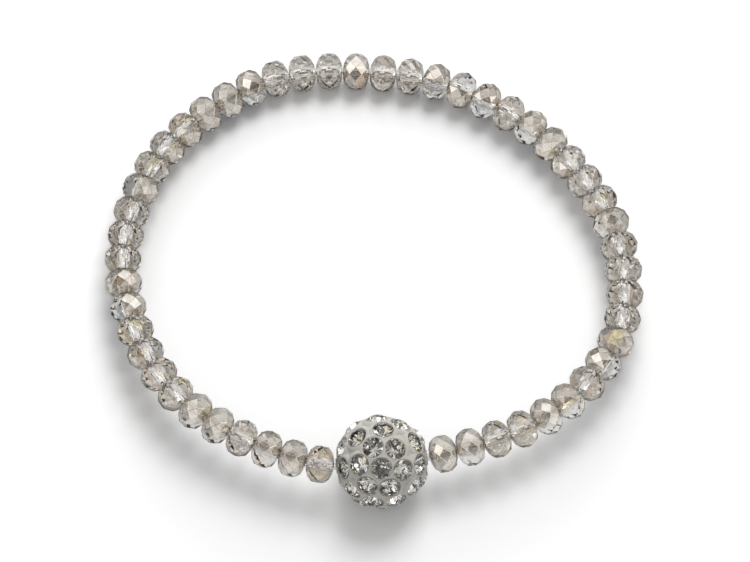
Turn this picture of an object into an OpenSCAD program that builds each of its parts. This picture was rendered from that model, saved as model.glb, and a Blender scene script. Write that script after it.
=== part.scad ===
// Stretch bracelet: faceted glass rondelles on a clear elastic, with one crystal-studded clay ball.
// Millimetres, +Z up. The bracelet lies on the surface z = 0, with its origin under the middle of
// its box. The ball is at the front, towards -Y, and the beads run round from its left side.

/* [Glass beads] */
// Number of faceted glass beads on the elastic
bead_count = 51; // [45:1:57]
// Diameter of a bead over the corners of its waist
bead_d = 4.2; // [3.8:0.1:4.3]
// Length of a bead along the elastic
bead_len = 2.74; // [2.6:0.02:2.9]
// Clear distance between the flat ends of two beads
bead_gap = 0.26; // [0.26:0.01:0.4]
// Clear distance between the ball and the flat end of the bead beside it
ball_gap = 0.33; // [0.33:0.01:0.5]
// Diameter of the hole drilled through a bead
bead_hole_d = 1; // [0.9:0.05:1.1]

/* [Crystal ball] */
// Diameter of the clay ball without its crystals
ball_d = 9.9; // [9.8:0.1:10.2]
// Diameter of the hole drilled through the ball
ball_hole_d = 1.4; // [1.2:0.1:1.6]
// Diameter of a crystal at its girdle
stone_d = 2.25; // [2.05:0.05:2.25]
// Height of a crystal's table above the clay
stone_proud = 0.13; // [0.05:0.01:0.2]

/* [Elastic] */
// Diameter of the elastic cord
cord_d = 0.7; // [0.5:0.05:0.8]

/* [Hidden] */

// Sides of a bead, and the turn from one of its corners to the next
bead_sides = 8;
bead_step = 360 / bead_sides;
// Heights of a bead's two facet rings, and the radius of its flat end, as shares of its size
ring_low_share = 0.23;
ring_high_share = 0.4;
bead_end_share = 0.38;

// Heights of a crystal's parts as shares of its diameter
crown_share = 0.15;
girdle_share = 0.03;
pavilion_share = 0.42;
table_share = 0.55;
// Share of the crown's height, and of the pavilion's depth, at which the facets meet
crown_meet = 0.58;
pavilion_meet = 0.3;
stone_sides = 8;
stone_step = 360 / stone_sides;
// Room between a crystal and the wall of its pocket, and the radius of the pocket's flat bottom
pocket_room = 0.05;
pocket_tip_r = 0.15;

cord_sides = 8;
bore_sides = 32;
ball_sides = 64;

// Places of the crystals on the front half of the ball, set by hand as on the real one. ALONG is
// the angle from the ball's middle towards the right end of its hole, and ROUND the angle about
// the hole from the line of sight. The back half repeats the front, turned half way round the hole.
ALONG = 0;
ROUND = 1;
stone_places = [
    [-4, -7],
    [-12, 22], [17, 17], [25, -13], [5, -35], [-24, -32], [-33, 0],
    [-32, 46], [4, 47], [29, 64], [50, 36], [55, -13], [42, -55],
    [13, -64], [-17, -63], [-48, -54], [-62, -6], [-61, 59],
    [-35, 89], [-2, 76], [62, 88]
];
// Height of the line of sight over the plane of the loop, which the table's ROUND is counted from
sight_angle = 61.5;

// Points that the elastic is drawn towards as it lies, seen from above, clockwise from the ball
route = [
    [0.5, -24.5], [-6, -24.5], [-11.5, -22.5], [-17, -19.5], [-21.5, -16], [-25, -10.5],
    [-27, -4.5], [-27.5, 1.5], [-26.5, 7], [-24.5, 12.5], [-21, 17], [-16, 21],
    [-10.5, 24], [-4.5, 24.5], [1.5, 24], [7.5, 23], [13, 20], [18, 16.5],
    [21.5, 12], [25, 7], [26.5, 2], [27, -4], [26, -10], [22.5, -15],
    [18, -19], [12.5, -21.5], [7, -23]
];
// Short steps that each stretch of the route is drawn in
route_steps = 12;

function unit(v) = v / norm(v);
function item(list, k) = list[(k + len(list)) % len(list)];

// Uniform cubic B-spline: point at share t of the stretch after route point k
function spline_point(k, t) = (
    pow(1 - t, 3) * item(route, k - 1)
    + (3 * pow(t, 3) - 6 * t * t + 4) * item(route, k)
    + (3 * t * t + 3 * t + 1 - 3 * pow(t, 3)) * item(route, k + 1)
    + pow(t, 3) * item(route, k + 2)
) / 6;
curve = [for (k = [0 : len(route) - 1]) for (j = [0 : route_steps - 1]) spline_point(k, j / route_steps)];

// Length run along the curve at each of its points, back to the first one
function running(list) = [for (i = 0, sum = 0; i <= len(list); sum = sum + item(list, i), i = i + 1) sum];
run = running([for (i = [0 : len(curve) - 1]) norm(item(curve, i + 1) - curve[i])]);
curve_x = [for (i = [0 : len(curve)]) [run[i], item(curve, i).x]];
curve_y = [for (i = [0 : len(curve)]) [run[i], item(curve, i).y]];

// The loop is drawn to the length that its ball and beads need
ball_r = ball_d / 2;
bead_pitch = bead_len + bead_gap;
ball_half_span = ball_r + ball_gap - bead_gap / 2;
loop_len = 2 * ball_half_span + bead_count * bead_pitch;
loop_fit = loop_len / run[len(curve)];

// Joint k lies between two beads, and joints 0 and bead_count at the two ends of the ball's hole
function joint_run(k) = (ball_half_span + k * bead_pitch) / loop_fit;
function joint_at(k) = loop_fit * [lookup(joint_run(k), curve_x), lookup(joint_run(k), curve_y), 0];
joints = [for (k = [0 : bead_count]) joint_at(k)];

function heading(v) = atan2(v.y, v.x);
function bead_middle(k) = (joints[k] + joints[k + 1]) / 2;
function bead_heading(k) = heading(joints[k + 1] - joints[k]);
// Beads turn freely on the elastic, so each one lies at its own turn
bead_turn_step = 137.5;
function bead_turn(k) = bead_turn_step * k;
ball_middle = (joints[bead_count] + joints[0]) / 2;
ball_heading = heading(joints[bead_count] - joints[0]);

// Corners of a bead about its own axis: waist, low rings, high rings and flat ends
waist_r = bead_d / 2;
ring_low_z = ring_low_share * bead_len;
ring_high_z = ring_high_share * bead_len;
ring_low_r = waist_r * cos(bead_step / 2);
ring_high_r = waist_r - (waist_r - ring_low_r * cos(bead_step / 2)) * ring_high_z / ring_low_z;
bead_end_r = bead_end_share * waist_r;
function ring(r, z, shift, sides) = [
    for (k = [0 : sides - 1]) [r * cos((k + shift) * 360 / sides), r * sin((k + shift) * 360 / sides), z]
];
bead_rings = [
    [bead_end_r, -bead_len / 2, 0], [ring_high_r, -ring_high_z, 0], [ring_low_r, -ring_low_z, 0.5],
    [waist_r, 0, 0],
    [ring_low_r, ring_low_z, 0.5], [ring_high_r, ring_high_z, 0], [bead_end_r, bead_len / 2, 0]
];
bead_corners = [for (row = bead_rings) each ring(row[0], row[1], row[2], bead_sides)];

// Corner k of facet ring row, counted round and round
function corner(row, k) = row * bead_sides + (k + bead_sides) % bead_sides;
bead_faces = [
    [for (k = [0 : bead_sides - 1]) corner(0, k)],
    [for (k = [0 : bead_sides - 1]) corner(6, -k)],
    for (k = [0 : bead_sides - 1]) each [
        [corner(0, k), corner(1, k), corner(1, k + 1), corner(0, k + 1)],
        [corner(1, k), corner(2, k), corner(1, k + 1)],
        [corner(1, k), corner(2, k - 1), corner(3, k), corner(2, k)],
        [corner(3, k), corner(4, k), corner(3, k + 1), corner(2, k)],
        [corner(3, k), corner(4, k - 1), corner(5, k), corner(4, k)],
        [corner(4, k), corner(5, k), corner(5, k + 1)],
        [corner(5, k), corner(6, k), corner(6, k + 1), corner(5, k + 1)]
    ]
];

// Corners of a crystal, with its girdle at z = 0 and its table towards +Z
stone_r = stone_d / 2;
crown_h = crown_share * stone_d;
girdle_h = girdle_share * stone_d;
pavilion_h = pavilion_share * stone_d;
table_r = table_share * stone_r;
crown_top = girdle_h / 2 + crown_h;
crown_meet_z = girdle_h / 2 + crown_meet * crown_h;
crown_meet_r = (stone_r - (stone_r - table_r) * crown_meet) / cos(stone_step / 2);
pavilion_tip = -girdle_h / 2 - pavilion_h;
pavilion_meet_z = -girdle_h / 2 - pavilion_meet * pavilion_h;
pavilion_meet_r = stone_r * (1 - pavilion_meet) / cos(stone_step / 2);
stone_corners = [
    each ring(table_r, crown_top, 0, stone_sides),
    each ring(crown_meet_r, crown_meet_z, 0.5, stone_sides),
    each ring(stone_r, girdle_h / 2, 0, 2 * stone_sides),
    each ring(stone_r, -girdle_h / 2, 0, 2 * stone_sides),
    each ring(pavilion_meet_r, pavilion_meet_z, 0.5, stone_sides),
    [0, 0, pavilion_tip]
];
function table_at(k) = (k + stone_sides) % stone_sides;
function crown_at(k) = stone_sides + table_at(k);
function upper_at(k) = 2 * stone_sides + (k + 2 * stone_sides) % (2 * stone_sides);
function lower_at(k) = 2 * stone_sides + upper_at(k);
function pavilion_at(k) = 6 * stone_sides + table_at(k);
tip_at = 7 * stone_sides;
stone_faces = [
    [for (k = [0 : stone_sides - 1]) table_at(-k)],
    for (k = [0 : stone_sides - 1]) each [
        [table_at(k), table_at(k + 1), crown_at(k)],
        [table_at(k), crown_at(k), upper_at(2 * k), crown_at(k - 1)],
        [crown_at(k), upper_at(2 * k + 1), upper_at(2 * k)],
        [crown_at(k), upper_at(2 * k + 2), upper_at(2 * k + 1)],
        [upper_at(2 * k), upper_at(2 * k + 1), lower_at(2 * k + 1), lower_at(2 * k)],
        [upper_at(2 * k + 1), upper_at(2 * k + 2), lower_at(2 * k + 2), lower_at(2 * k + 1)],
        [pavilion_at(k), lower_at(2 * k), lower_at(2 * k + 1)],
        [pavilion_at(k), lower_at(2 * k + 1), lower_at(2 * k + 2)],
        [tip_at, pavilion_at(k - 1), lower_at(2 * k), pavilion_at(k)]
    ]
];

// All crystals: the front half and the same places half way round the hole
stones = [for (half = [0, 180]) for (place = stone_places) [place[ALONG], place[ROUND] + half]];
// The table's outer face stands proud of the clay, and the girdle lies at its edge
girdle_reach = ball_r + stone_proud - crown_top;

// Rotations of a point, and the way a crystal is set on the ball and the ball in the loop
function turn_x(v, a) = [v.x, v.y * cos(a) - v.z * sin(a), v.y * sin(a) + v.z * cos(a)];
function turn_y(v, a) = [v.x * cos(a) + v.z * sin(a), v.y, v.z * cos(a) - v.x * sin(a)];
function turn_z(v, a) = [v.x * cos(a) - v.y * sin(a), v.x * sin(a) + v.y * cos(a), v.z];
function on_ball(v, place) =
    turn_x(turn_y(v + [0, 0, girdle_reach], place[ALONG]), 90 - sight_angle - place[ROUND]);
function on_loop(v) = ball_middle + turn_z(v, ball_heading);
function on_string(v, k) = bead_middle(k) + turn_z(turn_y(turn_z(v, bead_turn(k)), 90), bead_heading(k));

// The loop leans on its ball, which is larger than the beads, so its front is raised
loop_back = max([for (k = [0 : bead_count - 1]) bead_middle(k).y]);
loop_lean = asin((ball_r + stone_proud - waist_r) / (loop_back - ball_middle.y));
corners = [
    for (place = stones) for (v = stone_corners) turn_x(on_loop(on_ball(v, place)), -loop_lean),
    for (k = [0 : bead_count - 1]) for (v = bead_corners) turn_x(on_string(v, k), -loop_lean)
];
low = [for (i = [0 : 2]) min([for (v = corners) v[i]])];
high = [for (i = [0 : 2]) max([for (v = corners) v[i]])];
lie = [-(low.x + high.x) / 2, -(low.y + high.y) / 2, -low.z];

// Sets the loop, drawn flat round its own middle, down on the surface
module lying() {
    translate(lie) rotate([-loop_lean, 0, 0]) children();
}

module bead() {
    difference() {
        polyhedron(bead_corners, bead_faces);
        cylinder(h = bead_len + 1, d = bead_hole_d, center = true, $fn = bore_sides);
    }
}

module string_of(first, last) {
    for (k = [first : last])
        translate(bead_middle(k))
            rotate([0, 0, bead_heading(k)])
                rotate([0, 90, 0])
                    rotate([0, 0, bead_turn(k)])
                        bead();
}

module in_ball_place() {
    translate(ball_middle) rotate([0, 0, ball_heading]) children();
}

module at_stone(place) {
    rotate([90 - sight_angle - place[ROUND], 0, 0])
        rotate([0, place[ALONG], 0])
            translate([0, 0, girdle_reach])
                children();
}

// Pocket for one crystal: a straight wall down to the girdle, then a cone with a small flat bottom
module pocket() {
    wall_r = stone_r + pocket_room;
    wall_z = -girdle_h / 2 - pocket_room;
    bottom_z = pavilion_tip - 2 * pocket_room;
    mouth_z = 2 * crown_top;
    rotate_extrude($fn = bore_sides)
        polygon([[0, bottom_z], [pocket_tip_r, bottom_z], [wall_r, wall_z], [wall_r, mouth_z], [0, mouth_z]]);
}

module pave_ball() {
    color("gainsboro")
        lying() in_ball_place() difference() {
            rotate([0, 90, 0]) difference() {
                sphere(d = ball_d, $fn = ball_sides);
                cylinder(h = ball_d + 1, d = ball_hole_d, center = true, $fn = bore_sides);
            }
            for (place = stones) at_stone(place) pocket();
        }
}

module ball_crystals() {
    color("lightcyan")
        lying() in_ball_place()
            for (place = stones) at_stone(place) polyhedron(stone_corners, stone_faces);
}

half_count = ceil(bead_count / 2);

module bead_string_left() {
    color("tan") lying() string_of(0, half_count - 1);
}

module bead_string_right() {
    color("tan") lying() string_of(half_count, bead_count - 1);
}

// Closed tube swept through the joints, with a ring at each
cord_rings = [
    for (k = [0 : bead_count])
        let (ahead = unit(item(joints, k + 1) - joints[k]), behind = unit(joints[k] - item(joints, k - 1)))
        let (along = unit(ahead + behind), side = [-along.y, along.x, 0] / (along * ahead))
        [for (j = [0 : cord_sides - 1])
            let (a = (j + 0.5) * 360 / cord_sides)
            joints[k] + cord_d / 2 * (cos(a) * side + [0, 0, sin(a)])]
];
function cord_at(k, j) = (k % (bead_count + 1)) * cord_sides + j % cord_sides;

module elastic_cord() {
    color("whitesmoke")
        lying() polyhedron(
            [for (points = cord_rings) each points],
            [for (k = [0 : bead_count]) for (j = [0 : cord_sides - 1])
                [cord_at(k, j), cord_at(k, j + 1), cord_at(k + 1, j + 1), cord_at(k + 1, j)]]
        );
}

pave_ball();
ball_crystals();
bead_string_left();
bead_string_right();
elastic_cord();
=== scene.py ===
"""Looks of the stretch bracelet: faceted half-plated glass rondelles and a crystal-set clay ball.

The layout of the loop is worked out here again from the same named sizes as the part's source, so
that every detailed piece stands exactly where its solid does. Sizes are in millimetres until a mesh
is made, which is in metres. Each piece is a surface computed with numpy as whole arrays.
"""

import logging
import math
from dataclasses import dataclass
from enum import Enum, IntEnum

import bpy
import numpy as np
from mathutils import Matrix, Vector

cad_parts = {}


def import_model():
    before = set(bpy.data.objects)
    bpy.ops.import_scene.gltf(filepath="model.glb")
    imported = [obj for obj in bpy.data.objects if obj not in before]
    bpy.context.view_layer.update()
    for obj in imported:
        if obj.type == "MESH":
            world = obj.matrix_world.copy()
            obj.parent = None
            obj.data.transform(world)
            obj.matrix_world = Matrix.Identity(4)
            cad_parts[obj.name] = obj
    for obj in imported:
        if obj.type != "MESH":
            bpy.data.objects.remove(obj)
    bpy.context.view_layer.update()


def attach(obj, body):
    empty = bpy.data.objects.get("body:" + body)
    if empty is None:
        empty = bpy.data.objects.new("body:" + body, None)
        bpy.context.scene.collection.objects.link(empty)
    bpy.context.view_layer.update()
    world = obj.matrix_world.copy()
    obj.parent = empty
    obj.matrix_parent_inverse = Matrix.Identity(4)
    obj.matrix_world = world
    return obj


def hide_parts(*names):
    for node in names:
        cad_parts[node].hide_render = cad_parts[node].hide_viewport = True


Array = np.ndarray
Object = bpy.types.Object
Material = bpy.types.Material
Tree = bpy.types.ShaderNodeTree
Node = bpy.types.Node
Socket = bpy.types.NodeSocket
Colour = tuple[float, float, float]
Face = tuple[list[int], int, int]

MM = 0.001
log = logging.getLogger("bracelet")


# turning and setting points


class Axis(IntEnum):
    """The axes that points are turned about."""

    X = 0
    Y = 1
    Z = 2


def turned(v: Array, axis: Axis, degrees: float | Array) -> Array:
    """Points turned about an axis through the origin.

    Args:
        v: points, with x, y, z along the last axis.
        axis: the axis, whose coordinate is kept.
        degrees: the angle, or one angle for each point.

    Returns:
        The points, with the two coordinates p, q that come after the axis's own, in the round
        x, y, z, made p cos a - q sin a and p sin a + q cos a.
    """
    after, last = (axis + 1) % 3, (axis + 2) % 3
    c, s = np.cos(np.radians(degrees)), np.sin(np.radians(degrees))
    p, q = v[..., after], v[..., last]
    out = np.array(v, float)
    out[..., after], out[..., last] = p * c - q * s, p * s + q * c
    return out


def ring(radius: float, height: float, shift: float, sides: int) -> Array:
    """Corners of a level ring: radius times cosine and sine of equal steps, begun at shift steps.

    Args:
        radius: distance of the corners from the axis.
        height: z of the ring.
        shift: steps by which the first corner is turned.
        sides: number of corners.

    Returns:
        The corners, (sides, 3).
    """
    a = (np.arange(sides) + shift) * 2 * math.pi / sides
    return np.stack([radius * np.cos(a), radius * np.sin(a), np.full(sides, float(height))], 1)


# meshes


@dataclass
class Shell:
    """A surface of flat faces: points, the faces' corners end to end, and what each face carries."""

    points: Array
    corners: Array
    sizes: Array
    slots: Array
    facets: Array

    @classmethod
    def of_faces(cls, points: Array, faces: list[Face]) -> "Shell":
        """A shell from a short list of faces.

        Args:
            points: the corners' places, (n, 3).
            faces: for each face its corners in order, its material slot and its facet number.

        Returns:
            The shell, with the facet numbers in facets.
        """
        corners, slots, facets = zip(*faces)
        sizes = np.array([len(face) for face in corners])
        return cls(points, np.concatenate(corners), sizes, np.array(slots), np.array(facets, float))

    @classmethod
    def of_grid(cls, grid: Array, closed: tuple[bool, bool]) -> "Shell":
        """A shell of four-sided faces over a grid of points.

        Args:
            grid: points, (rows, columns, 3).
            closed: whether the rows, and the columns, run back to the first.

        Returns:
            The shell, whose faces look towards rows crossed with columns.
        """
        rows, cols = grid.shape[:2]
        r = np.arange(rows if closed[0] else rows - 1)[:, None]
        c = np.arange(cols if closed[1] else cols - 1)[None, :]
        here, above, after = r * cols, (r + 1) % rows * cols, (c + 1) % cols
        quads = np.stack(np.broadcast_arrays(here + c, above + c, above + after, here + after), -1)
        plain = np.zeros(quads.shape[0] * quads.shape[1])
        return cls(grid.reshape(-1, 3), quads.ravel(), np.full(len(plain), 4), plain.astype(int), plain)

    def copies(self, points: Array, facets: Array, slots: Array | None = None) -> "Shell":
        """Many copies of this shell as one.

        Args:
            points: the places of each copy's points, (copies, n, 3).
            facets: each copy's facet values, (copies, faces).
            slots: each copy's material slots, (copies, faces), or None to keep this shell's.

        Returns:
            The shell that holds them all.
        """
        count = len(points)
        first = np.arange(count)[:, None] * len(self.points)
        return Shell(
            points.reshape(-1, 3),
            (self.corners[None, :] + first).ravel(),
            np.tile(self.sizes, count),
            np.tile(self.slots, count) if slots is None else slots.ravel(),
            facets.ravel(),
        )

    def to_object(self, name: str, materials: list[Material], smooth: bool) -> Object:
        """Makes the Blender object, with the facet values as the face attribute "facet".

        Args:
            name: the piece's name.
            materials: one for each slot.
            smooth: whether the faces are shaded smooth.

        Returns:
            The object, at the origin, with its place in its mesh.
        """
        mesh = bpy.data.meshes.new(name)
        mesh.vertices.add(len(self.points))
        mesh.vertices.foreach_set("co", (self.points * MM).astype(np.float32).ravel())
        mesh.loops.add(len(self.corners))
        mesh.loops.foreach_set("vertex_index", self.corners.astype(np.int32))
        mesh.polygons.add(len(self.sizes))
        starts = np.concatenate([[0], np.cumsum(self.sizes)[:-1]])
        mesh.polygons.foreach_set("loop_start", starts.astype(np.int32))
        for material in materials:
            mesh.materials.append(material)
        mesh.polygons.foreach_set("material_index", self.slots.astype(np.int32))
        mesh.polygons.foreach_set("use_smooth", np.full(len(self.sizes), smooth))
        mesh.update(calc_edges=True)
        mesh.validate()
        values = mesh.attributes.new("facet", "FLOAT", "FACE")
        values.data.foreach_set("value", self.facets.astype(np.float32))
        made = bpy.data.objects.new(name, mesh)
        bpy.context.scene.collection.objects.link(made)
        return made


# Edges flatter than this many degrees are left as they are by softened
SHARP_ANGLE = 8.0


def softened(piece: Object, width: float) -> Object:
    """Rounds a piece's sharp edges with one narrow chamfer, as polishing does.

    Args:
        piece: the piece.
        width: width of the chamfer in millimetres.

    Returns:
        The piece.
    """
    bevel = piece.modifiers.new("polished edges", "BEVEL")
    bevel.width = width * MM
    bevel.segments = 1
    bevel.limit_method = "ANGLE"
    bevel.angle_limit = math.radians(SHARP_ANGLE)
    bevel.use_clamp_overlap = True
    return piece


# layout of the loop


@dataclass(frozen=True)
class Loop:
    """The closed loop that the ball and the beads follow, and how it lies on the surface."""

    bead_count: int = 51
    bead_d: float = 4.2
    bead_len: float = 2.74
    bead_gap: float = 0.26
    ball_d: float = 9.9
    ball_gap: float = 0.33
    stone_proud: float = 0.13
    turn_step: float = 137.5
    steps: int = 12
    lie: tuple[float, float, float] = (0.2385, 1.2834, 3.6124)
    route: tuple[tuple[float, float], ...] = (
        (0.5, -24.5), (-6, -24.5), (-11.5, -22.5), (-17, -19.5), (-21.5, -16), (-25, -10.5),
        (-27, -4.5), (-27.5, 1.5), (-26.5, 7), (-24.5, 12.5), (-21, 17), (-16, 21),
        (-10.5, 24), (-4.5, 24.5), (1.5, 24), (7.5, 23), (13, 20), (18, 16.5),
        (21.5, 12), (25, 7), (26.5, 2), (27, -4), (26, -10), (22.5, -15),
        (18, -19), (12.5, -21.5), (7, -23),
    )

    @property
    def ball_r(self) -> float:
        """Radius of the clay ball."""
        return self.ball_d / 2

    def curve(self) -> Array:
        """The route as a closed uniform cubic B-spline.

        Returns:
            Points at equal shares t of each stretch: ((1-t)^3 A + (3t^3-6t^2+4) B +
            (3t^2+3t+1-3t^3) C + t^3 D) / 6, with A, B, C, D four route points in turn.
        """
        b = np.array(self.route, float)
        t = (np.arange(self.steps) / self.steps)[None, :, None]
        a, c, d = (np.roll(b, k, axis=0)[:, None, :] for k in (1, -1, -2))
        b = b[:, None, :]
        points = (1 - t) ** 3 * a + (3 * t**3 - 6 * t**2 + 4) * b
        points = points + (3 * t**2 + 3 * t + 1 - 3 * t**3) * c + t**3 * d
        return points.reshape(-1, 2) / 6

    def joints(self) -> Array:
        """Joints between the beads, and at the two ends of the ball's hole, on the flat loop.

        Returns:
            The joints, (bead_count + 1, 3), at equal runs along the loop, which is drawn to the
            length that its ball and beads need.
        """
        curve = self.curve()
        shut = np.vstack([curve, curve[:1]])
        run = np.concatenate([[0], np.cumsum(np.linalg.norm(np.diff(shut, axis=0), axis=1))])
        pitch = self.bead_len + self.bead_gap
        half = self.ball_r + self.ball_gap - self.bead_gap / 2
        fit = (2 * half + self.bead_count * pitch) / run[-1]
        at = (half + pitch * np.arange(self.bead_count + 1)) / fit
        x, y = np.interp(at, run, shut[:, 0]), np.interp(at, run, shut[:, 1])
        return np.stack([x, y, 0 * x], 1) * fit

    def middles(self) -> Array:
        """Middle of each bead on the flat loop."""
        j = self.joints()
        return (j[1:] + j[:-1]) / 2

    def headings(self) -> Array:
        """Heading of each bead's hole, in degrees from +X."""
        d = np.diff(self.joints(), axis=0)
        return np.degrees(np.arctan2(d[:, 1], d[:, 0]))

    def ball_middle(self) -> Array:
        """Middle of the ball on the flat loop."""
        j = self.joints()
        return (j[-1] + j[0]) / 2

    def ball_heading(self) -> float:
        """Heading of the ball's hole, in degrees from +X, towards its right end."""
        j = self.joints()
        d = j[-1] - j[0]
        return float(np.degrees(np.arctan2(d[1], d[0])))

    def lean(self) -> float:
        """Angle by which the loop leans on its ball, in degrees."""
        rise = self.ball_r + self.stone_proud - self.bead_d / 2
        reach = float(self.middles()[:, 1].max() - self.ball_middle()[1])
        return math.degrees(math.asin(rise / reach))

    def lying(self, v: Array) -> Array:
        """Points of the flat loop set down on the surface: turned about X by the lean, then moved."""
        return turned(v, Axis.X, -self.lean()) + np.array(self.lie)


# shader nodes and groups


class Blend(Enum):
    """How two colours are blended."""

    MIX = "MIX"
    MULTIPLY = "MULTIPLY"


def grey(level: float) -> tuple[float, float, float, float]:
    """A neutral opaque colour."""
    return (level, level, level, 1.0)


def put(socket: Socket, value: object) -> None:
    """Links a node's input to another node's socket, or sets it to a value."""
    if isinstance(value, Socket):
        socket.id_data.links.new(value, socket)
    else:
        socket.default_value = value


def filled(node: Node, **values: object) -> Node:
    """Sets or links the inputs of a node.

    Args:
        node: the node.
        values: a value or a socket for each input, with underscores for the spaces in its name.

    Returns:
        The node.
    """
    for label, value in values.items():
        put(node.inputs[label.replace("_", " ")], value)
    return node


def placed(tree: Tree, kind: str, **values: object) -> Node:
    """A new node of a kind, with its inputs set or linked as filled does."""
    return filled(tree.nodes.new("ShaderNode" + kind), **values)


def ranged(tree: Tree, **values: object) -> Socket:
    """A value carried from the span From Min, From Max to the span To Min, To Max."""
    return placed(tree, "MapRange", **values).outputs["Result"]


def blended(tree: Tree, blend: Blend, **values: object) -> Socket:
    """The colours A and B blended by a factor.

    Args:
        tree: where the node goes.
        blend: how they are blended.
        values: Factor, A and B, each a value or a socket.

    Returns:
        The socket that gives the colour.
    """
    node = placed(tree, "Mix")
    node.data_type, node.blend_type = "RGBA", blend.value
    return filled(node, **values).outputs["Result"]


def computed(tree: Tree, operation: str, *values: object, kind: str = "Math") -> Socket:
    """What a math node, or a like one of another kind, works out from its values in order."""
    node = placed(tree, kind)
    node.operation = operation
    for socket, value in zip(node.inputs, values):
        put(socket, value)
    return node.outputs["Value"]


def noise_at(tree: Tree, scale: Socket, detail: float) -> Socket:
    """Noise on the piece's own object coordinates, of so many features to the metre and octaves."""
    place = placed(tree, "TexCoord").outputs["Object"]
    return placed(tree, "TexNoise", Vector=place, Scale=scale, Detail=detail).outputs["Fac"]


def group_of(name: str, inputs: list[tuple[str, str, object]], outputs: list[tuple[str, str]]) -> Tree:
    """A new shader node group with named sockets.

    Args:
        name: the group's name.
        inputs: name, kind and first value of each input.
        outputs: name and kind of each output.

    Returns:
        The group, with its input and output nodes inside.
    """
    tree = bpy.data.node_groups.new(name, "ShaderNodeTree")
    for label, kind, value in inputs:
        made = tree.interface.new_socket(label, in_out="INPUT", socket_type="NodeSocket" + kind)
        made.default_value = value
    for label, kind in outputs:
        tree.interface.new_socket(label, in_out="OUTPUT", socket_type="NodeSocket" + kind)
    tree.nodes.new("NodeGroupInput")
    tree.nodes.new("NodeGroupOutput")
    return tree


def facet_tint_and_painted_sparkle_group() -> Tree:
    """The tint that changes from facet to facet, used by the glass and the plating, and as painted reflection
    and fire on the crystals.

    Returns:
        A group that mixes Main towards Second on the facets whose value passes Start, and gives the few whose
        value is under Rare End a hue between Hue From and Hue To. On the beads these are their own tone and
        thin coating; on the crystals the foil's near-black Second is painted dark reflection and the hues are
        painted fire.
    """
    tree = group_of(
        "facet tint",
        [
            ("Main", "Color", grey(1.0)), ("Second", "Color", grey(1.0)), ("Start", "Float", 0.5),
            ("Rare End", "Float", 0.06), ("Hue From", "Float", 0.0), ("Hue To", "Float", 1.0),
            ("Rare Depth", "Float", 0.4),
        ],
        [("Color", "Color")],
    )
    into = tree.nodes["Group Input"].outputs
    facet = placed(tree, "Attribute")
    facet.attribute_name = "facet"
    value = facet.outputs["Fac"]
    span = ranged(tree, Value=value, From_Min=into["Start"])
    plain = blended(tree, Blend.MIX, Factor=span, A=into["Main"], B=into["Second"])
    film = placed(tree, "CombineColor")
    film.mode = "HSV"
    hue = ranged(tree, Value=value, From_Max=into["Rare End"], To_Min=into["Hue From"], To_Max=into["Hue To"])
    filled(film, Red=hue, Green=into["Rare Depth"], Blue=1.0)
    rare = computed(tree, "LESS_THAN", value, into["Rare End"])
    filmed = blended(tree, Blend.MULTIPLY, Factor=rare, A=plain, B=film.outputs["Color"])
    filled(tree.nodes["Group Output"], Color=filmed)
    return tree


# The span of the coarse noise over which a grained surface turns from its light to its shade
PATCH_SPAN = (0.42, 0.62)


def fine_grain_group() -> Tree:
    """Fine unevenness of handled surfaces, used by the clay, the elastic and the drilled holes.

    Returns:
        A group that puts out a height, coarse noise plus a share of fine noise, and a mask of
        duller patches.
    """
    tree = group_of(
        "fine grain",
        [("Coarse", "Float", 900.0), ("Fine", "Float", 6000.0), ("Fine Share", "Float", 0.3)],
        [("Height", "Float"), ("Patches", "Float")],
    )
    into = tree.nodes["Group Input"].outputs
    coarse, fine = noise_at(tree, into["Coarse"], 3.0), noise_at(tree, into["Fine"], 2.0)
    total = computed(tree, "MULTIPLY_ADD", fine, into["Fine Share"], coarse)
    patches = ranged(tree, Value=coarse, From_Min=PATCH_SPAN[0], From_Max=PATCH_SPAN[1])
    filled(tree.nodes["Group Output"], Height=total, Patches=patches)
    return tree


class Groups:
    """The shader groups, each built once."""

    def __init__(self) -> None:
        """Builds the groups."""
        self.facet_tint_and_painted_sparkle = facet_tint_and_painted_sparkle_group()
        self.fine_grain = fine_grain_group()


# finishes

# The share of grazing, from 0 face on to 1 edge on, over which glass is darkened to its rim colour: painted
# shade at its outline
PAINTED_RIM_SHADE_SPAN = (0.6, 0.88)

# How far light runs under a dull surface, in metres
SUBSURFACE_SCALE = 0.0006


def principled(name: str) -> tuple[Material, Tree, Node]:
    """A new material with its Principled shader.

    Args:
        name: the material's name.

    Returns:
        The material, its nodes' tree and the shader.
    """
    material = bpy.data.materials.new(name)
    material.use_nodes = True
    tree = material.node_tree
    return material, tree, tree.nodes["Principled BSDF"]


def placed_group(tree: Tree, group: Tree, **values: object) -> bpy.types.NodeOutputs:
    """Places a group in a material with values of its own.

    Args:
        tree: the material's tree.
        group: the group.
        values: input values, with underscores for the spaces in their names.

    Returns:
        The sockets that the group puts out.
    """
    node = placed(tree, "Group")
    node.node_tree = group
    return filled(node, **values).outputs


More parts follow.
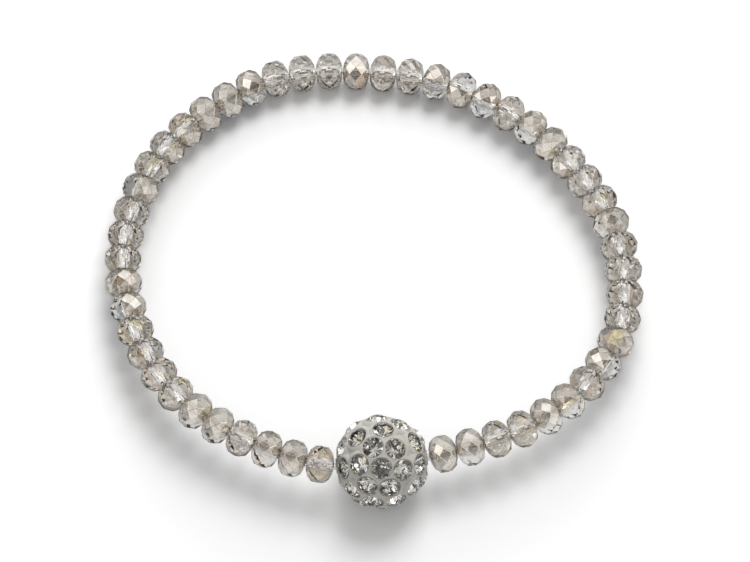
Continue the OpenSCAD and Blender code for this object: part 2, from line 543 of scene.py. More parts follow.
@dataclass(frozen=True)
class FacetedGlass:
    """Polished glass whose tint changes a little from facet to facet, and whose colour is darkened at its
    rims as painted shade.
    """

    name: str
    main: Colour
    second: Colour
    start: float = 0.5
    rare_end: float = 0.04
    hues: tuple[float, float] = (0.05, 0.16)
    rare_depth: float = 0.35
    metal: float = 0.0
    roughness: float = 0.01
    ior: float = 1.52
    transmission: float = 1.0
    # rim: the colour multiplied in where the glass turns edge on, painted shade at its outline
    rim: Colour = (1, 1, 1)
    edge_shine: Colour = (1, 1, 1)

    def material(self, groups: Groups) -> Material:
        """Makes the material.

        Args:
            groups: the shader groups.

        Returns:
            The material.
        """
        material, tree, shader = principled(self.name)
        filled(
            shader, Metallic=self.metal, Roughness=self.roughness, IOR=self.ior,
            Transmission_Weight=self.transmission, Specular_Tint=(*self.edge_shine, 1),
        )
        tint = placed_group(
            tree, groups.facet_tint_and_painted_sparkle, Main=(*self.main, 1), Second=(*self.second, 1), Start=self.start,
            Rare_End=self.rare_end, Hue_From=self.hues[0], Hue_To=self.hues[1], Rare_Depth=self.rare_depth,
        )
        # Painted shade: the colour is darkened towards rim where the surface turns edge on to the view
        facing = placed(tree, "LayerWeight").outputs["Facing"]
        grazing = ranged(tree, Value=facing, From_Min=PAINTED_RIM_SHADE_SPAN[0], From_Max=PAINTED_RIM_SHADE_SPAN[1])
        painted_rim_shade_colour = blended(tree, Blend.MULTIPLY, Factor=grazing, A=tint["Color"], B=(*self.rim, 1))
        filled(shader, Base_Color=painted_rim_shade_colour)
        return material


@dataclass(frozen=True)
class GrainedSurface:
    """A dull surface with fine unevenness, duller in patches: clay, elastic or a drilled hole."""

    name: str
    light: Colour
    shade: Colour
    roughness: tuple[float, float]
    coarse: float
    fine: float
    bump: float
    metal: float = 0.0
    transmission: float = 0.0
    subsurface: float = 0.0

    def material(self, groups: Groups) -> Material:
        """Makes the material.

        Args:
            groups: the shader groups.

        Returns:
            The material.
        """
        material, tree, shader = principled(self.name)
        filled(
            shader, Metallic=self.metal, Transmission_Weight=self.transmission,
            Subsurface_Weight=self.subsurface, Subsurface_Scale=SUBSURFACE_SCALE,
        )
        grain = placed_group(tree, groups.fine_grain, Coarse=self.coarse, Fine=self.fine)
        patches, (smooth, dull) = grain["Patches"], self.roughness
        colour = blended(tree, Blend.MIX, Factor=patches, A=(*self.light, 1), B=(*self.shade, 1))
        rough = ranged(tree, Value=patches, To_Min=smooth, To_Max=dull)
        bump = placed(tree, "Bump", Height=grain["Height"], Distance=self.bump * MM, Strength=1.0)
        filled(shader, Base_Color=colour, Roughness=rough, Normal=bump.outputs["Normal"])
        return material


# The dark brown rim colours are painted shade at the beads' outlines.
CLEAR_GLASS = FacetedGlass(
    "clear bead glass", main=(0.97, 0.97, 0.96), second=(0.95, 0.945, 0.915), rim=(0.2, 0.18, 0.16)
)
PLATED_GLASS = FacetedGlass(
    "plated bead glass", main=(0.9, 0.845, 0.77), second=(0.66, 0.585, 0.5), start=0.6, metal=0.5,
    roughness=0.05, rim=(0.2, 0.18, 0.16), edge_shine=(0.2, 0.18, 0.16),
)
# A few crystal facets get a blue hue: painted fire.
CHATON_GLASS = FacetedGlass(
    "crystal glass", main=(0.985, 0.98, 0.97), second=(0.96, 0.95, 0.93), rare_end=0.025,
    hues=(0.54, 0.66), rare_depth=0.4, ior=1.56,
)
# The foil's near-black second colour on a share of its facets is painted dark reflection, and its few orange
# hues are painted fire.
CHATON_FOIL = FacetedGlass(
    "crystal foil", main=(0.94, 0.925, 0.885), second=(0.07, 0.065, 0.06), start=0.72, rare_end=0.04,
    hues=(0.03, 0.17), metal=1.0, roughness=0.02, transmission=0.0,
)
DRILLED_HOLE = GrainedSurface(
    "drilled hole", light=(0.99, 0.96, 0.93), shade=(0.97, 0.93, 0.89), roughness=(0.02, 0.06),
    coarse=2500.0, fine=9000.0, bump=0.0002, metal=0.5, transmission=1.0,
)
CLAY = GrainedSurface(
    "ball clay", light=(0.61, 0.595, 0.55), shade=(0.555, 0.54, 0.495), roughness=(0.38, 0.55),
    coarse=1100.0, fine=7000.0, bump=0.03, subsurface=0.15,
)
STRETCH_CLEAR = GrainedSurface(
    "clear elastic", light=(0.97, 0.95, 0.93), shade=(0.93, 0.90, 0.87), roughness=(0.1, 0.2),
    coarse=3000.0, fine=9000.0, bump=0.001, transmission=1.0,
)


# beads


class Plated(IntEnum):
    """Which way a bead's plated half faces, in steps about the elastic from straight down."""

    DOWN = 0
    DOWN_OUT = 1
    OUT = 2
    UP_OUT = 3
    UP = 4
    UP_IN = 5
    IN = 6
    DOWN_IN = 7


class BeadSlot(IntEnum):
    """Material slots of a bead."""

    CLEAR = 0
    PLATED = 1
    HOLE = 2


class BeadFacet(IntEnum):
    """First number of each kind of facet on a bead of eight sides."""

    END_LOW = 0
    END_HIGH = 1
    COLLARS_LOW = 2
    COLLARS_HIGH = 10
    TRIANGLES_LOW = 18
    TRIANGLES_HIGH = 26
    HALVES_LOW = 34
    HALVES_HIGH = 42
    LOZENGES = 50
    HOLE = 58


# Read off the real string, bead by bead from the ball's left side round to its right
PLATED_WAYS = tuple(
    Plated[way] for way in (
        "DOWN UP UP_IN DOWN UP UP DOWN DOWN_IN DOWN_OUT DOWN IN UP DOWN_OUT DOWN OUT IN OUT "
        "DOWN_IN DOWN_IN UP UP UP_OUT DOWN DOWN DOWN UP_IN DOWN_IN DOWN UP_OUT DOWN_IN UP_OUT DOWN "
        "UP_OUT UP DOWN_IN DOWN DOWN_IN UP_OUT DOWN DOWN DOWN DOWN UP_OUT UP_IN DOWN IN UP_IN "
        "DOWN_OUT DOWN_OUT UP_IN UP"
    ).split()
)


@dataclass
class GlassBeads:
    """The faceted glass rondelles, each clear on one half and plated on the other.

    The real beads all but touch, so these are a little longer than their solids.
    """

    loop: Loop
    groups: Groups
    length: float = 2.84
    hole_d: float = 1.0
    sides: int = 8
    ring_low_share: float = 0.23
    ring_high_share: float = 0.4
    end_share: float = 0.38
    polish: float = 0.03
    plated: tuple[Plated, ...] = PLATED_WAYS

    def rings(self) -> list[tuple[float, float, float]]:
        """Radius, height and shift of the facet rings, from one flat end to the other."""
        loop, step = self.loop, 2 * math.pi / self.sides
        waist = loop.bead_d / 2
        low_z, high_z = self.ring_low_share * self.length, self.ring_high_share * self.length
        low = waist * math.cos(step / 2)
        high = waist - (waist - low * math.cos(step / 2)) * high_z / low_z
        end, tip = self.end_share * waist, self.length / 2
        return [
            (end, -tip, 0), (high, -high_z, 0), (low, -low_z, 0.5), (waist, 0, 0),
            (low, low_z, 0.5), (high, high_z, 0), (end, tip, 0),
        ]

    def bead(self) -> tuple[Shell, Array]:
        """One bead about its own axis.

        Seven rings of corners carry the facets: a trapezium beside each flat end, triangles and
        half lozenges to the low ring, and a lozenge across the waist. The drilled hole is a ring
        of twice as many sides at either end.

        Returns:
            The shell, and for each face the sector between corners that it lies in.
        """
        n, tip = self.sides, self.length / 2
        rows = [ring(r, z, s, n) for r, z, s in self.rings()]
        hole_first = len(rows) * n
        rows += [ring(self.hole_d / 2, -tip, 0, 2 * n), ring(self.hole_d / 2, tip, 0, 2 * n)]
        points = np.vstack(rows)

        def at(row: int, k: int) -> int:
            """Number of corner k of a facet ring."""
            return row * n + k % n

        def rim(end: int, k: int) -> int:
            """Number of corner k of the hole's rim at end 0 or 1."""
            return hole_first + end * 2 * n + k % (2 * n)

        faces: list[Face] = []
        sector: list[int] = []
        for k in range(n):
            before = (k - 1) % n
            glass, hole, cut = BeadSlot.CLEAR, BeadSlot.HOLE, BeadFacet
            low, high = ([rim(end, 2 * k + j) for j in range(3)] for end in (0, 1))
            parts = [
                ([at(0, k + 1), at(0, k), *low], glass, cut.END_LOW, k),
                ([at(6, k), at(6, k + 1), *high[::-1]], glass, cut.END_HIGH, k),
                ([at(0, k), at(0, k + 1), at(1, k + 1), at(1, k)], glass, cut.COLLARS_LOW + k, k),
                ([at(5, k), at(5, k + 1), at(6, k + 1), at(6, k)], glass, cut.COLLARS_HIGH + k, k),
                ([at(1, k), at(1, k + 1), at(2, k)], glass, cut.TRIANGLES_LOW + k, k),
                ([at(4, k), at(5, k + 1), at(5, k)], glass, cut.TRIANGLES_HIGH + k, k),
                ([at(1, k), at(2, k), at(3, k)], glass, cut.HALVES_LOW + k, k),
                ([at(1, k), at(3, k), at(2, k - 1)], glass, cut.HALVES_LOW + k, before),
                ([at(3, k), at(4, k), at(5, k)], glass, cut.HALVES_HIGH + k, k),
                ([at(3, k), at(5, k), at(4, k - 1)], glass, cut.HALVES_HIGH + k, before),
                ([at(2, k), at(3, k + 1), at(4, k), at(3, k)], glass, cut.LOZENGES + k, k),
                ([low[0], high[0], high[1], low[1]], hole, cut.HOLE, k),
                ([low[1], high[1], high[2], low[2]], hole, cut.HOLE, k),
            ]
            faces += [(corners, slot, facet) for corners, slot, facet, _ in parts]
            sector += [s for *_, s in parts]
        return Shell.of_faces(points, faces), np.array(sector)

    def strung(self, points: Array, beads: range) -> Array:
        """Copies of a bead's points, turned about the hole, set along the loop and laid down.

        Args:
            points: the bead's points about its own axis.
            beads: the beads' numbers.

        Returns:
            The points, (beads, n, 3).
        """
        loop, number = self.loop, np.array(beads)
        heads, middles = loop.headings()[number, None], loop.middles()[number, None, :]
        v = np.broadcast_to(points, (len(beads), *points.shape))
        v = turned(turned(v, Axis.Z, loop.turn_step * number[:, None]), Axis.Y, 90.0)
        return loop.lying(turned(v, Axis.Z, heads) + middles)

    def plating(self, shell: Shell, sector: Array, beads: range) -> Array:
        """Material slots of a string's beads.

        A face is plated where its sector's middle lies within a quarter turn of the way the
        plated half faces, that way being rounded to the bead's nearest corner.

        Args:
            shell: one bead.
            sector: the sector of each of its faces.
            beads: the beads' numbers.

        Returns:
            The slots, (beads, faces).
        """
        number = np.array(beads)[:, None]
        faced = np.array(self.plated)[number] * 360 / len(Plated)
        corner = np.round((faced - self.loop.turn_step * number) * self.sides / 360)
        away = (sector[None, :] + 0.5 - corner + self.sides / 2) % self.sides - self.sides / 2
        covered = (np.abs(away) < self.sides / 4) & (shell.slots[None, :] == BeadSlot.CLEAR)
        return np.where(covered, BeadSlot.PLATED, shell.slots[None, :])

    def build(self, name: str, beads: range, seed: int) -> Object:
        """Builds one string of beads.

        Args:
            name: the piece's name.
            beads: the beads' numbers.
            seed: seed of the facets' values.

        Returns:
            The piece.
        """
        shell, sector = self.bead()
        draw = np.random.default_rng(seed).random((len(beads), BeadFacet.HOLE + 1))
        facets = draw[:, shell.facets.astype(int)]
        slots = self.plating(shell, sector, beads)
        whole = shell.copies(self.strung(shell.points, beads), facets, slots)
        finishes = (CLEAR_GLASS, PLATED_GLASS, DRILLED_HOLE)
        materials = [finish.material(self.groups) for finish in finishes]
        return softened(whole.to_object(name, materials, smooth=False), self.polish)


# ball


class StoneSlot(IntEnum):
    """Material slots of a crystal."""

    GLASS = 0
    FOIL = 1


class StoneFacet(IntEnum):
    """First number of each kind of facet on a crystal of eight sides, and their count."""

    TABLE = 0
    STARS = 1
    KITES = 9
    HALVES = 17
    HALVES_AFTER = 25
    GIRDLE = 33
    LOWER_HALVES = 34
    LOWER_HALVES_AFTER = 42
    MAINS = 50
    MAINS_AFTER = 58
    COUNT = 66


@dataclass
class CrystalBall:
    """The clay ball and the cut crystals pressed into it."""

    loop: Loop
    groups: Groups
    hole_d: float = 1.4
    stone_d: float = 2.25
    crown_share: float = 0.15
    girdle_share: float = 0.03
    pavilion_share: float = 0.42
    table_share: float = 0.55
    crown_meet: float = 0.58
    pavilion_meet: float = 0.3
    sides: int = 8
    sight_angle: float = 61.5
    dip: float = 0.02
    dip_place: float = 0.17
    dip_width: float = 0.14
    sink: float = 0.26
    sink_span: float = 0.6
    seat_room: float = 0.03
    seat_edge: float = 0.08
    seat_fade: float = 0.04
    least_cosine: float = 0.5
    hole_rim: float = 0.15
    arc_steps: int = 236
    rim_steps: int = 5
    bore_steps: int = 10
    around_steps: int = 372
    polish: float = 0.012
    lower_share: float = 0.65
    # Bright mains keep the foil's own colour; the dark ones take its painted dark reflection.
    bright_most: float = 0.6
    painted_dark_least: float = 0.5
    swap_chance: float = 0.2
    places: tuple[tuple[int, int], ...] = (
        (-4, -7),
        (-12, 22), (17, 17), (25, -13), (5, -35), (-24, -32), (-33, 0),
        (-32, 46), (4, 47), (29, 64), (50, 36), (55, -13), (42, -55),
        (13, -64), (-17, -63), (-48, -54), (-62, -6), (-61, 59),
        (-35, 89), (-2, 76), (62, 88),
    )

    @property
    def stone_r(self) -> float:
        """Radius of a crystal's girdle."""
        return self.stone_d / 2

    @property
    def girdle_half(self) -> float:
        """Half the height of a crystal's girdle."""
        return self.girdle_share * self.stone_d / 2

    @property
    def girdle_reach(self) -> float:
        """Distance of a crystal's girdle from the ball's middle."""
        top = self.loop.ball_r + self.loop.stone_proud
        return top - self.girdle_half - self.crown_share * self.stone_d

    def all_places(self) -> Array:
        """Places of all crystals: the front half's, and the same half way round the hole."""
        front = np.array(self.places, float)
        return np.vstack([front, front + np.array([0, 180.0])])

    def on_ball(self, v: Array) -> Array:
        """Points beside one upright crystal set at every crystal's place.

        Args:
            v: points, (n, 3) or (crystals, n, 3), with the ball's middle as their origin.

        Returns:
            The points, (crystals, n, 3), turned about Y by the place's first angle and about X by
            what its second one leaves of the line of sight.
        """
        places = self.all_places()
        along, across = places[:, :1], 90 - self.sight_angle - places[:, 1:]
        v = np.broadcast_to(v, (len(places), *v.shape[-2:]))
        return turned(turned(v, Axis.Y, along), Axis.X, across)

    def laid(self, v: Array) -> Array:
        """Points about the ball's middle set in the lying loop."""
        return self.loop.lying(turned(v, Axis.Z, self.loop.ball_heading()) + self.loop.ball_middle())

    def clay_profile(self) -> tuple[Array, Array]:
        """The ball's outline beside its hole: an arc, a rounded rim at each end, and the hole.

        Returns:
            The outline's points along and off the axis, closed, and which of them are on the arc.
        """
        rim, ball, bore = self.hole_rim, self.loop.ball_r, self.hole_d / 2
        mid = np.array([math.sqrt((ball - rim) ** 2 - (bore + rim) ** 2), bore + rim])
        lean = math.atan2(mid[1], mid[0])
        arc = np.linspace(math.pi - lean, lean, self.arc_steps)
        turn = np.linspace(lean, -math.pi / 2, self.rim_steps + 1)[1:]
        right = mid + rim * np.stack([np.cos(turn), np.sin(turn)], 1)
        along = np.linspace(mid[0], -mid[0], self.bore_steps + 2)[1:-1]
        inside = np.stack([along, np.full(self.bore_steps, bore)], 1)
        left = right[::-1] * np.array([-1, 1])
        outline = np.vstack([ball * np.stack([np.cos(arc), np.sin(arc)], 1), right, inside, left])
        return outline, np.arange(len(outline)) < self.arc_steps

    def clay_reach(self, directions: Array) -> Array:
        """Distance of the clay from the ball's middle in each direction.

        Beside a girdle the clay keeps nearly the ball's radius and stands as a low lip, with a slight
        dip along a bell curve of the distance from the girdle. Further off it sinks softly, with
        the square of that distance. At the girdle it drops and runs down under the pavilion as a
        cone, whose distance is that of its tip over the cosine less the slope times the sine of the
        angle off the crystal's axis.

        Args:
            directions: unit vectors about the ball's middle, before it is laid, (n, 3).

        Returns:
            The distances, (n,).
        """
        axes = self.on_ball(np.array([[0.0, 0.0, 1.0]]))[:, 0, :]
        cosine = (directions @ axes.T).max(1)
        ball = self.loop.ball_r
        sine = np.sqrt(np.maximum(1 - cosine**2, 0))
        edge = ball * sine - self.stone_r
        dip = self.dip * np.exp(-(((edge - self.dip_place) / self.dip_width) ** 2))
        body = ball - dip - self.sink * np.clip(edge / self.sink_span, 0, 1) ** 2
        slope = self.pavilion_share * self.stone_d / self.stone_r
        seat_tip = self.girdle_reach - self.girdle_half - self.seat_room - slope * self.stone_r
        seat = seat_tip / np.maximum(cosine - slope * sine, self.least_cosine)
        inside = np.clip((self.seat_edge - edge) / self.seat_fade, 0, 1)
        return body * (1 - inside) + np.minimum(seat, body) * inside

    def clay(self) -> Object:
        """Builds the clay ball: its outline carried round the hole, pushed in or out by clay_reach.

        Returns:
            The piece.
        """
        around, (outline, on_arc) = self.around_steps, self.clay_profile()
        a = (np.arange(around) * 2 * math.pi / around)[:, None]
        x = np.broadcast_to(outline[:, 0], (around, len(outline)))
        grid = np.stack([x, outline[:, 1] * np.cos(a), outline[:, 1] * np.sin(a)], -1)
        arc = grid[:, on_arc].reshape(-1, 3)
        way = arc / np.linalg.norm(arc, axis=1)[:, None]
        grid[:, on_arc] = (way * self.clay_reach(way)[:, None]).reshape(around, -1, 3)
        shell = Shell.of_grid(self.laid(grid), (True, True))
        return shell.to_object("clay_ball", [CLAY.material(self.groups)], smooth=True)

    def crystal(self) -> Shell:
        """One upright crystal with its girdle at z = 0.

        Returns:
            The shell: a table, a crown of stars, kites and halves, a girdle, and a pavilion of
            halves and split mains that meet in a point. The back is foiled from the girdle down.
        """
        n, r, g = self.sides, self.stone_r, self.girdle_half
        half = math.cos(math.pi / n)
        crown, depth = self.crown_share * self.stone_d, self.pavilion_share * self.stone_d
        table = self.table_share * r
        meet_r = (r - (r - table) * self.crown_meet) / half
        low_r = r * (1 - self.pavilion_meet) / half
        points = np.vstack([
            ring(table, g + crown, 0, n), ring(meet_r, g + self.crown_meet * crown, 0.5, n),
            ring(r, g, 0, 2 * n), ring(r, -g, 0, 2 * n),
            ring(low_r, -g - self.pavilion_meet * depth, 0.5, n), [[0, 0, -g - depth]],
        ])
        glass, foil, cut, tip = StoneSlot.GLASS, StoneSlot.FOIL, StoneFacet, 7 * n
        faces: list[Face] = [(list(range(n)), glass, cut.TABLE)]
        for k in range(n):
            t0, t1, c0, cb = k, (k + 1) % n, n + k, n + (k - 1) % n
            u0, u1, u2 = (2 * n + (2 * k + j) % (2 * n) for j in range(3))
            l0, l1, l2 = (4 * n + (2 * k + j) % (2 * n) for j in range(3))
            p0, pb = 6 * n + k, 6 * n + (k - 1) % n
            faces += [
                ([t0, c0, t1], glass, cut.STARS + k), ([t0, cb, u0, c0], glass, cut.KITES + k),
                ([c0, u0, u1], glass, cut.HALVES + k), ([c0, u1, u2], glass, cut.HALVES_AFTER + k),
                ([u0, l0, l1, u1], foil, cut.GIRDLE), ([u1, l1, l2, u2], foil, cut.GIRDLE),
                ([p0, l1, l0], foil, cut.LOWER_HALVES + k), ([p0, l2, l1], foil, cut.LOWER_HALVES_AFTER + k),
                ([tip, p0, l0], foil, cut.MAINS + k), ([tip, l0, pb], foil, cut.MAINS_AFTER + k),
            ]
        return Shell.of_faces(points, faces)

    def facet_values(self, rng: np.random.Generator, count: int) -> Array:
        """Values of the crystals' facets, which their tints follow.

        All are chances, but the lower halves keep bright, and of each main's two sides one is bright and the
        other takes the foil's near-black colour: painted dark reflections, which give the spokes that a cut
        crystal shows.

        Args:
            rng: where the chances come from.
            count: number of crystals.

        Returns:
            The values, one for each crystal and facet number.
        """
        cut = StoneFacet
        values = rng.random((count, cut.COUNT))
        values[:, cut.LOWER_HALVES:cut.MAINS] *= self.lower_share
        swapped = rng.random((count, self.sides)) < self.swap_chance
        one, other = values[:, cut.MAINS:cut.MAINS_AFTER], values[:, cut.MAINS_AFTER:]
        # The dark side of each main is painted dark reflection.
        bright, dark = one * self.bright_most, self.painted_dark_least + (1 - self.painted_dark_least) * other
        one[:], other[:] = np.where(swapped, dark, bright), np.where(swapped, bright, dark)
        return values

    def crystals(self, seed: int) -> Object:
        """Builds all the crystals, each turned about its own axis by chance.

        Args:
            seed: seed of the turns and the facets' values.

        Returns:
            The piece.
        """
        shell = self.crystal()
        rng = np.random.default_rng(seed)
        count = len(self.all_places())
        upright = np.broadcast_to(shell.points, (count, *shell.points.shape))
        spun = turned(upright, Axis.Z, rng.uniform(0, 360 / self.sides, (count, 1)))
        set_in = self.laid(self.on_ball(spun + np.array([0, 0, self.girdle_reach])))
        facets = self.facet_values(rng, count)[:, shell.facets.astype(int)]
        materials = [finish.material(self.groups) for finish in (CHATON_GLASS, CHATON_FOIL)]
        piece = shell.copies(set_in, facets).to_object("ball_chatons", materials, smooth=False)
        return softened(piece, self.polish)


# elastic


@dataclass
class Elastic:
    """The clear elastic, one closed loop through every hole."""

    loop: Loop
    groups: Groups
    diameter: float = 0.7
    sides: int = 12
    spans: int = 4

    def path(self) -> Array:
        """A closed curve through the joints.

        Returns:
            Points on the cubic through each two joints p, q with their neighbours o, r:
            (2p + (q-o) t + (2o-5p+4q-r) t^2 + (3p-o-3q+r) t^3) / 2.
        """
        p = self.loop.joints()[:, None, :]
        o, q, r = (np.roll(p, k, axis=0) for k in (1, -1, -2))
        t = (np.arange(self.spans) / self.spans)[None, :, None]
        points = 2 * p + (q - o) * t + (2 * o - 5 * p + 4 * q - r) * t**2 + (3 * p - o - 3 * q + r) * t**3
        return (points / 2).reshape(-1, 3)

    def build(self) -> Object:
        """Builds the elastic: a ring at each point of the path, square to it.

        Returns:
            The piece.
        """
        path = self.path()
        ahead = np.roll(path, -1, axis=0) - np.roll(path, 1, axis=0)
        ahead = ahead / np.linalg.norm(ahead, axis=1)[:, None]
        side = np.stack([-ahead[:, 1], ahead[:, 0], 0 * ahead[:, 0]], 1)
        a = (np.arange(self.sides) * 2 * math.pi / self.sides)[:, None]
        circles = np.cos(a) * side[:, None, :] + np.sin(a) * np.array([0, 0, 1.0])
        grid = path[:, None, :] + self.diameter / 2 * circles
        shell = Shell.of_grid(self.loop.lying(grid), (True, True))
        return shell.to_object("elastic", [STRETCH_CLEAR.material(self.groups)], smooth=True)


# studio


class Serves(Enum):
    """What a light is for: the shade of dull surfaces, or what glass and metal mirror."""

    DULL = "dull"
    SHINE = "shine"


@dataclass(frozen=True)
class SoftLight:
    """One soft light, hung round the object and turned to it.

    Its place is an azimuth, clockwise from the back, and an elevation, in degrees. Its size and
    distance are in metres, and its energy follows from them, so that brightness is how it looks.
    """

    name: str
    place: tuple[float, float]
    size: tuple[float, float]
    brightness: float
    serves: Serves
    distance: float = 0.5

    def build(self) -> None:
        """Hangs the light, turned to the object."""
        a, e = (math.radians(angle) for angle in self.place)
        way = Vector((math.sin(a) * math.cos(e), math.cos(a) * math.cos(e), math.sin(e)))
        lamp = bpy.data.lights.new(self.name, "AREA")
        lamp.shape = "RECTANGLE"
        lamp.size, lamp.size_y = self.size
        lamp.energy = self.brightness * math.pi * self.size[0] * self.size[1]
        made = bpy.data.objects.new(self.name, lamp)
        made.location = way * self.distance
        made.rotation_mode = "QUATERNION"
        made.rotation_quaternion = way.to_track_quat("Z", "Y")
        made.visible_diffuse = self.serves is Serves.DULL
        made.visible_glossy = made.visible_transmission = self.serves is Serves.SHINE
        bpy.context.scene.collection.objects.link(made)


@dataclass
class Studio:
    """A plain pale floor, soft light and the camera at the photograph's angle.

    Lengths are in millimetres and angles in degrees. The tent's stops are a share of the height and
    a brightness, patches is a span of the noise and the factors that it becomes, and the opening's
    soft edge runs between its two angles.
    """

    elevation: float = 64.7
    distance: float = 600.0
    target: tuple[float, float, float] = (0.16, -0.18, 2.5)
    pixels_per_mm: float = 9.2
    frame_width: int = 750
    sensor: float = 36.0
    clip: tuple[float, float] = (0.01, 10.0)
    roll: float = -0.5
    floor_half: float = 300.0
    floor_drop: float = 0.02
    floor_shown: float = 1.22
    floor_tone: float = 0.88
    fill: float = 0.44
    tent: tuple[tuple[float, float], ...] = (
        (0.0, 0.8), (0.42, 0.7), (0.49, 0.13), (0.56, 0.3), (0.66, 0.84), (0.74, 0.88), (1.0, 0.86),
    )
    patch_scale: float = 2.2
    patches: tuple[float, float, float, float] = (0.38, 0.62, 0.7, 1.15)
    opening: tuple[float, float] = (38.0, 28.0)
    opening_tone: float = 0.14
    lights: tuple[SoftLight, ...] = (
        SoftLight("high key", place=(20, 60), size=(0.25, 0.25), brightness=5.8, serves=Serves.DULL),
        SoftLight("low key", place=(0, 28), size=(0.25, 0.25), brightness=3.2, serves=Serves.DULL),
        SoftLight("back panel", place=(12, 50), size=(0.2, 0.16), brightness=0.7, serves=Serves.SHINE),
        SoftLight("left panel", place=(-80, 35), size=(0.18, 0.3), brightness=1.1, serves=Serves.SHINE),
        SoftLight("right panel", place=(95, 28), size=(0.16, 0.3), brightness=1.1, serves=Serves.SHINE),
        SoftLight("front panel", place=(195, 38), size=(0.34, 0.14), brightness=0.8, serves=Serves.SHINE),
    )

    def camera(self) -> None:
        """Sets the camera: its lens shows pixels_per_mm at the target over the frame's width."""
        e = math.radians(self.elevation)
        right, up = Vector((1, 0, 0)), Vector((0, math.sin(e), math.cos(e)))
        back = right.cross(up)
        data = bpy.data.cameras.new("camera")
        data.sensor_width = self.sensor
        data.lens = self.sensor * self.distance * self.pixels_per_mm / self.frame_width
        data.clip_start, data.clip_end = self.clip
        made = bpy.data.objects.new("camera", data)
        turn = Matrix((right, up, back)).transposed() @ Matrix.Rotation(math.radians(self.roll), 3, "Z")
        stand = (Vector(self.target) + back * self.distance) * MM
        made.matrix_world = Matrix.Translation(stand) @ turn.to_4x4()
        bpy.context.scene.collection.objects.link(made)
        bpy.context.scene.camera = made

    def floor(self) -> None:
        """Lays the floor, a plain pale sheet that the camera sees lighter than the object does."""
        ends = (-self.floor_half, self.floor_half)
        grid = np.array([[[x, y, -self.floor_drop] for y in ends] for x in ends])
        material, tree, shader = principled("pale floor")
        seen = placed(tree, "LightPath").outputs["Is Camera Ray"]
        tone, lighter = grey(self.floor_tone), grey(self.floor_shown)
        shown = blended(tree, Blend.MIX, Factor=seen, A=tone, B=lighter)
        filled(shader, Base_Color=shown, Roughness=1.0, Specular_IOR_Level=0.0)
        Shell.of_grid(grid, (False, False)).to_object("floor", [material], smooth=False)

    def tent_tone(self, tree: Tree, way: Socket) -> Socket:
        """How bright the tent round the object is, as glass and metal see it.

        It goes by height, with a darker band at the horizon, and is lighter and darker in soft
        broad patches.

        Args:
            tree: the world's nodes.
            way: the socket that gives the direction.

        Returns:
            The socket that gives the brightness.
        """
        upward = placed(tree, "SeparateXYZ", Vector=way).outputs["Z"]
        tent = placed(tree, "ValToRGB", Fac=ranged(tree, Value=upward, From_Min=-1.0))
        stops = tent.color_ramp.elements
        for stop, (position, level) in zip(stops, (self.tent[0], self.tent[-1])):
            stop.position, stop.color = position, grey(level)
        for position, level in self.tent[1:-1]:
            stops.new(position).color = grey(level)
        noise = placed(tree, "TexNoise", Vector=way, Scale=self.patch_scale, Detail=1.0).outputs["Fac"]
        spans = dict(zip(("From_Min", "From_Max", "To_Min", "To_Max"), self.patches))
        depth = ranged(tree, Value=noise, **spans)
        return blended(tree, Blend.MULTIPLY, Factor=1.0, A=tent.outputs["Color"], B=depth)

    def opening_depth(self, tree: Tree, way: Socket) -> Socket:
        """How much darker the tent's opening is, which stands where the photograph was taken from.

        Args:
            tree: the world's nodes.
            way: the socket that gives the direction.

        Returns:
            The socket that gives a factor: 1 further than the first of the opening's angles from
            that one fixed direction, and the opening's tone nearer than the second.
        """
        rise = math.radians(self.elevation)
        straight = (0, -math.cos(rise), math.sin(rise))
        cosine = computed(tree, "DOT_PRODUCT", way, straight, kind="VectorMath")
        far, near = (math.cos(math.radians(angle)) for angle in self.opening)
        return ranged(tree, Value=cosine, From_Min=far, From_Max=near, To_Min=1.0, To_Max=self.opening_tone)

    def surroundings(self) -> None:
        """Fills the room with soft light.

        The camera sees white. Glass and metal see the tent with its opening, and dull surfaces get
        a weaker even light, so that shadows stay.
        """
        world = bpy.data.worlds.new("studio")
        world.use_nodes = True
        tree = world.node_tree
        way = placed(tree, "TexCoord").outputs["Generated"]
        seen = placed(tree, "LightPath").outputs
        tent, depth = self.tent_tone(tree, way), self.opening_depth(tree, way)
        opened = blended(tree, Blend.MULTIPLY, Factor=1.0, A=tent, B=depth)
        dull = blended(tree, Blend.MIX, Factor=seen["Is Diffuse Ray"], A=opened, B=grey(self.fill))
        shown = blended(tree, Blend.MIX, Factor=seen["Is Camera Ray"], A=dull, B=grey(1.0))
        filled(tree.nodes["Background"], Color=shown)
        world.cycles.sampling_method = "NONE"
        bpy.context.scene.world = world

    def build(self) -> None:
        """Sets up the floor, the light, the camera and how brightness is shown."""
        self.floor()
        self.surroundings()
        for light in self.lights:
            light.build()
        self.camera()
        bpy.context.scene.view_settings.view_transform = "Standard"
        bpy.context.scene.cycles.caustics_refractive = False


# the whole


class Piece(Enum):
    """The pieces: the material slot and the solids that each one stands for."""

    CLAY_BALL = ("clay", "pave_ball")
    CHATONS = ("crystal", "ball_crystals")
    BEADS_LEFT = ("bead_glass", "bead_string_left")
    BEADS_RIGHT = ("bead_glass", "bead_string_right")
    ELASTIC = ("elastic", "elastic_cord")


def dress(made: Object, piece: Piece) -> None:
    """Has a piece stand for its solid and reports it.

    Args:
        made: the piece's object.
        piece: which piece it is.
    """
    slot, node = piece.value
    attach(made, "root")
    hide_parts(node)
    log.info("%s: %d faces, stands for %s", made.name, len(made.data.polygons), node)


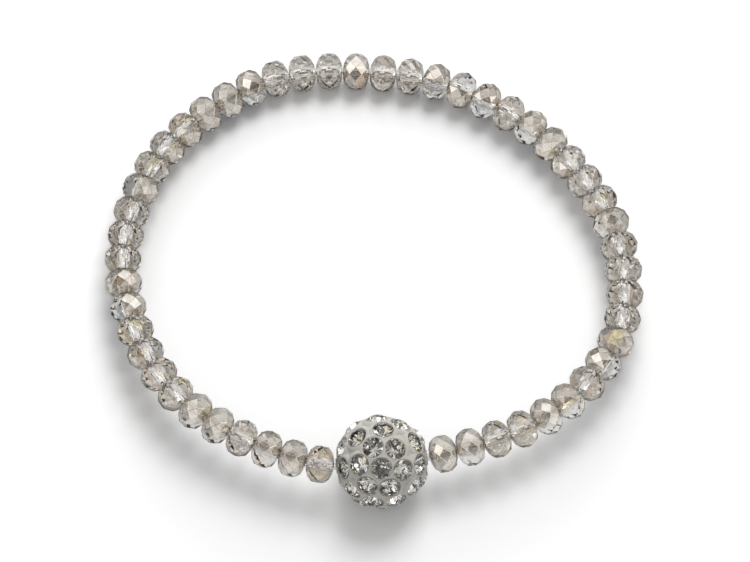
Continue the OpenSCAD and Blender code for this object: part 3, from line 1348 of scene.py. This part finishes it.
def main() -> None:
    """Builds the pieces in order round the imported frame, and the studio about them."""
    logging.basicConfig(level=logging.INFO, format="%(message)s")
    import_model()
    groups, loop = Groups(), Loop()
    ball = CrystalBall(loop, groups)
    dress(ball.clay(), Piece.CLAY_BALL)
    dress(ball.crystals(seed=11), Piece.CHATONS)
    beads = GlassBeads(loop, groups)
    half = math.ceil(loop.bead_count / 2)
    left, right = range(half), range(half, loop.bead_count)
    dress(beads.build("glass_beads_left", left, seed=21), Piece.BEADS_LEFT)
    dress(beads.build("glass_beads_right", right, seed=22), Piece.BEADS_RIGHT)
    dress(Elastic(loop, groups).build(), Piece.ELASTIC)
    Studio().build()
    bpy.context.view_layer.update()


if __name__ == "__main__":
    main()
